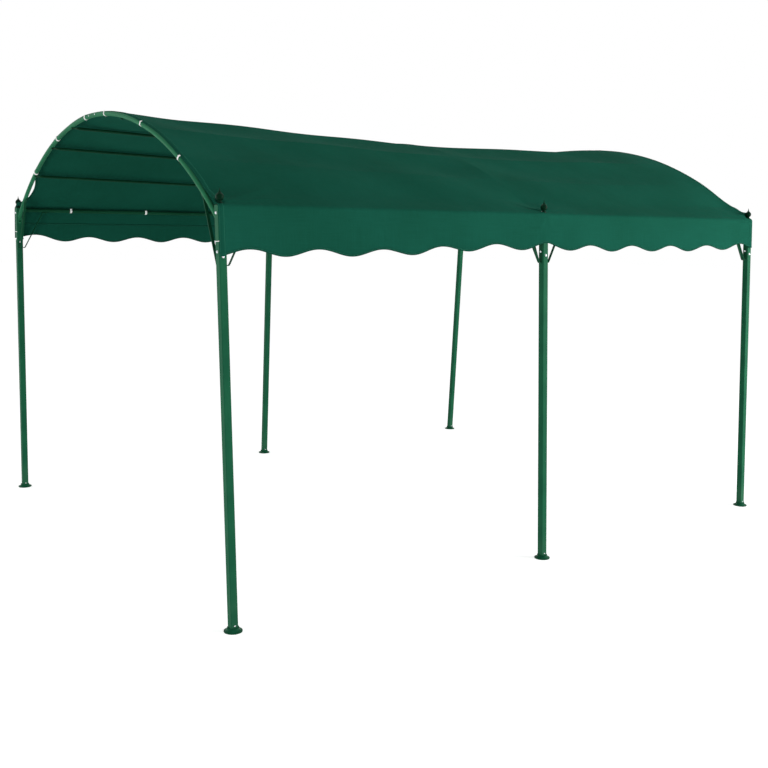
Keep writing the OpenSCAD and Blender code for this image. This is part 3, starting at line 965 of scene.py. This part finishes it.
index = np.arange(rows * cols).reshape(rows, cols)
faces = [
    (index[i, j], index[i + 1, j], index[i + 1, j + 1], index[i, j + 1])
    for i in range(rows - 1)
    for j in range(cols - 1)
    if kept[i, j]
]
shown = np.zeros(rows * cols, bool)
shown[np.unique(np.array(faces))] = True
renumber = np.cumsum(shown) - 1
faces = [tuple(int(renumber[k]) for k in face) for face in faces]
canopy_cloth = woven("canopy_cloth", "185a48", "14513f", "206b58")
canopy = add_mesh("canopy", cloth(x_grid, across_grid).reshape(-1, 3)[shown], faces, canopy_cloth)
map_cloth(canopy, np.stack([x_grid.ravel(), across_grid.ravel()], axis=1)[shown])
thicken = canopy.modifiers.new("cloth_thickness", "SOLIDIFY")
thicken.thickness = CLOTH_THICK
thicken.offset = 0.0
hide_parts("canopy_roof", "valance_front", "valance_back")
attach(canopy, "root")


# ---- Hems, bindings and seams -----------------------------------------------------------
# Strips of the same cloth, folded round the edges of the canopy: wide hems at the gables,
# sewn with two rows of stitches, and with one row a binding round the waves, a ring round
# each middle finial and a tape over the seam inside each valance.

hem_cloth = woven("hem_cloth", "165644", "134d3c", "1e6653", stitch_rows=(0.004, 0.026))
binding_cloth = woven("binding_cloth", "144f3e", "114637", "1d5e4b", stitch_rows=(0.007,))


def sewn_strip(name, x, across, way, corners, material, closed=False):
    """A strip along a line of the cloth. Each corner of its section is a distance from the
    line, which way points to, and a lift off the cloth."""
    rings = [cloth(x + way[0] * d, across + way[1] * d, lift) for d, lift in corners]
    count, sides = len(x), len(corners)
    points = np.stack(rings, axis=1).reshape(-1, 3)
    last = count if closed else count - 1
    faces = [
        (
            k * sides + j,
            k * sides + (j + 1) % sides,
            (k + 1) % count * sides + (j + 1) % sides,
            (k + 1) % count * sides + j,
        )
        for k in range(last)
        for j in range(sides)
    ]
    if not closed:
        faces.append(tuple(reversed(range(sides))))
        faces.append(tuple((count - 1) * sides + j for j in range(sides)))
    strip = add_mesh(name, points, faces, material)
    steps = np.linalg.norm(np.diff(rings[0], axis=0), axis=1)
    along = np.concatenate([[0.0], np.cumsum(steps)])
    from_line = np.array([abs(d) for d, _ in corners])
    places = np.stack(np.broadcast_arrays(along[:, None], from_line[None, :]), axis=-1)
    map_cloth(strip, places.reshape(-1, 2))
    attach(strip, "root")
    return strip


STRIP_THICK = 0.0008
STRIP_ROUND = 0.001


def folded(width):
    """Section of a strip folded round an edge: its rim, then inwards on both faces."""
    face = CLOTH_THICK / 2 + STRIP_THICK
    return [
        (width, -face + STRIP_THICK * 0.7),
        (width - STRIP_ROUND, -face),
        (STRIP_ROUND, -face),
        (-STRIP_THICK, 0.0),
        (STRIP_ROUND, face),
        (width - STRIP_ROUND, face),
        (width, face - STRIP_THICK * 0.7),
    ]


HEM_WIDTH = 0.030
BINDING_WIDTH = 0.011
RING_WIDTH = 0.009
SEAM_DOWN = 0.100
SEAM_HALF = 1.965
SEAM_WIDTH = 0.012
SEAM_THICK = 0.0009
for way, gable in ((-1, "left"), (1, "right")):
    half_hems = []
    for side in (-1, 1):
        end = float(valance_end(way * CLOTH_HALF, side))
        stretches = [(fold_at - 0.10, 0.020), (fold_at + 0.02, 0.004), (end, 0.014)]
        half_hems.append(np.array(lines(0.0, *stretches)))
    down = np.concatenate([-half_hems[0][:0:-1], half_hems[1]])
    edge = np.full_like(down, way * CLOTH_HALF)
    hem = folded(HEM_WIDTH)
    sewn_strip("gable_hem_" + gable, edge, down, (-way, 0.0), hem, hem_cloth)
for side_name, side in SIDES.items():
    x = np.linspace(-CLOTH_HALF, CLOTH_HALF, 420)
    wave = side * valance_end(x, side)
    binding = folded(BINDING_WIDTH)
    sewn_strip("wave_binding_" + side_name, x, wave, (0.0, -side), binding, binding_cloth)
    around = np.linspace(0, 2 * math.pi, 48, endpoint=False)
    ring_x, ring_y = np.cos(around), np.sin(around) / slope
    sewn_strip(
            "finial_ring_" + side_name,
            HOLE_RADIUS * ring_x,
            side * (hole_at + HOLE_RADIUS * ring_y),
            (ring_x, side * ring_y),
            folded(RING_WIDTH),
            binding_cloth,
            closed=True,
        )
    x = np.linspace(-SEAM_HALF, SEAM_HALF, 260)
    seam = np.full_like(x, side * (fold_at + SEAM_DOWN))
    near, far = -CLOTH_THICK / 2, -CLOTH_THICK / 2 - SEAM_THICK
    tape = [(0.0, near), (0.0, far), (SEAM_WIDTH, far), (SEAM_WIDTH, near)]
    sewn_strip("seam_tape_" + side_name, x, seam, (0.0, side), tape, binding_cloth)


# ---- Ties -------------------------------------------------------------------------------
# White woven tape, 13 mm wide, with a faint glow that keeps it white in the shade. Loops
# sewn to the gable hems pass round the end arches, others knot the cover to the eave rails,
# and a narrow one holds each valance to a corner post.

TAPE_WIDTH = 0.013
TAPE_THICK = 0.0008
tape_weave, look, surface = new_material("white_tape")
place = look.node("ShaderNodeTexCoord", output="Object")
parts = look.node("ShaderNodeSeparateXYZ", None, {0: place})
twill = (parts + parts.beside("Y") * 0.7 + parts.beside("Z")).wave(0.0011)
grime = look.node("ShaderNodeTexNoise", None, {"Vector": place, "Scale": 90.0, "Detail": 3.0})
look.fill(
    surface,
    {
        "Base Color": look.mix(grime.rise(0.3, 0.8), colour("f6f7f4"), colour("e3e7e0")),
        "Roughness": 0.78 + 0.1 * twill,
        "Specular IOR Level": 0.15,
        "Emission Color": WHITE,
        "Emission Strength": 0.22,
        "Normal": look.node(
            "ShaderNodeBump", None, {"Strength": 0.4, "Distance": 0.0002, "Height": twill}
        ),
    },
)


def ribbon(path, wide, width=TAPE_WIDTH):
    """Points and faces of a tape along a path, with its width along wide."""
    path = [Vector(p) for p in path]
    points, faces = [], []
    for k, p in enumerate(path):
        ahead = path[min(k + 1, len(path) - 1)] - path[max(k - 1, 0)]
        thick = ahead.normalized().cross(wide).normalized() * TAPE_THICK / 2
        half = wide.normalized() * width / 2
        points += [p - half - thick, p + half - thick, p + half + thick, p - half + thick]
        if k:
            a = 4 * (k - 1)
            faces += [(a + j, a + (j + 1) % 4, a + 4 + (j + 1) % 4, a + 4 + j) for j in range(4)]
    faces += [(3, 2, 1, 0), tuple(4 * (len(path) - 1) + j for j in range(4))]
    return points, faces


def tied_on(name, pieces):
    """One tie from its tape and knot."""
    joined(name, pieces, tape_weave, smooth=True)


def section_path(steps, centre, across, up):
    """Points in the plane of two directions, from pairs of places along them."""
    return [centre + a * across + b * up for a, b in steps]


LOOP_STEPS = 18


def round_tube(radius, first, last):
    """Pairs of places round a tube, from the first to the last angle in degrees."""
    turns = [first + (last - first) * k / LOOP_STEPS for k in range(LOOP_STEPS + 1)]
    angles = [math.radians(turn) for turn in turns]
    return [(radius * math.cos(a), radius * math.sin(a)) for a in angles]


LOOSE = 0.0006
HEM_TOP = 0.0166
around_arch = ARCH_RADIUS + LOOSE
ENDS = {name: place for name, place in PLACES.items() if place}
for place_name, place in ENDS.items():
    over = HEM_TOP + (RIGHT_LIFT if place > 0 else 0.0)
    from_hem = [(0.0030, over), (0.0080, over - 0.0020), (0.0114, 0.0118)]
    arch_loop = from_hem + round_tube(around_arch, 30, -200) + [(-0.0126, 0.0126)]
    for side_name, side in SIDES.items():
        for number, turn in enumerate(TIE_TURNS, 1):
            centre, way = on_arch(place, side * turn)
            loop = section_path(arch_loop, centre, place * X_AXIS, way)
            name = "_".join(("arch_tie", place_name, side_name, str(number)))
            tied_on(name, [ribbon(loop, X_AXIS.cross(way))])

RAIL_RADIUS = 0.0125
RAIL_DEPTH = 0.015
RAIL_TIES = (0.36, 0.92)
KNOT = [(0.0060, -0.0030), (0.0074, 0.0), (0.0070, 0.0035), (0.0045, 0.0060), (0.0010, 0.0068)]
around_rail = RAIL_RADIUS + LOOSE
rail_loop = [(0.012, 0.0165)] + round_tube(around_rail, 40, -190)
up = Vector((0.0, 0.0, 1.0))
for side_name, side in SIDES.items():
    inward = Vector((0.0, -side, 0.0))
    for bay_name, bay in ENDS.items():
        for number, from_corner in enumerate(RAIL_TIES, 1):
            rail_y = side * between(corner_y, middle_y, from_corner / half_length)
            centre = Vector((bay * (half_length - from_corner), rail_y, eave - RAIL_DEPTH))
            loop = ribbon(section_path(rail_loop, centre, inward, up), X_AXIS)
            knot = turned(KNOT, centre + inward * (around_rail + 0.0005), inward)
            name = "_".join(("rail_tie", side_name, bay_name, str(number)))
            tied_on(name, [loop, knot])

POST_TIE_DEPTH = 0.160
POST_TIE_WIDTH = 0.004
ACROSS_POST = (0.0222, 0.0150, 0.0050, -0.0050, -0.0150, -0.0205)
OFF_POST = (0.0000, 0.0012, 0.0016, 0.0016, 0.0013, 0.0008)
for place_name, place in ENDS.items():
    for side_name, side in SIDES.items():
        path = [
            on_post(place, side, POST_TIE_DEPTH, out, place * (POST_HALF + off))
            for out, off in zip(ACROSS_POST, OFF_POST)
        ]
        down = Vector((0.0, side * lean, -1.0))
        tied_on("post_tie_" + side_name + "_" + place_name, [ribbon(path, down, POST_TIE_WIDTH)])

2 * (fold_at + VALANCE_DEPTH + VALANCE_MORE + WAVE_HEIGHT / 2)
2 * CLOTH_HALF * 2 * (fold_at + VALANCE_DEPTH)
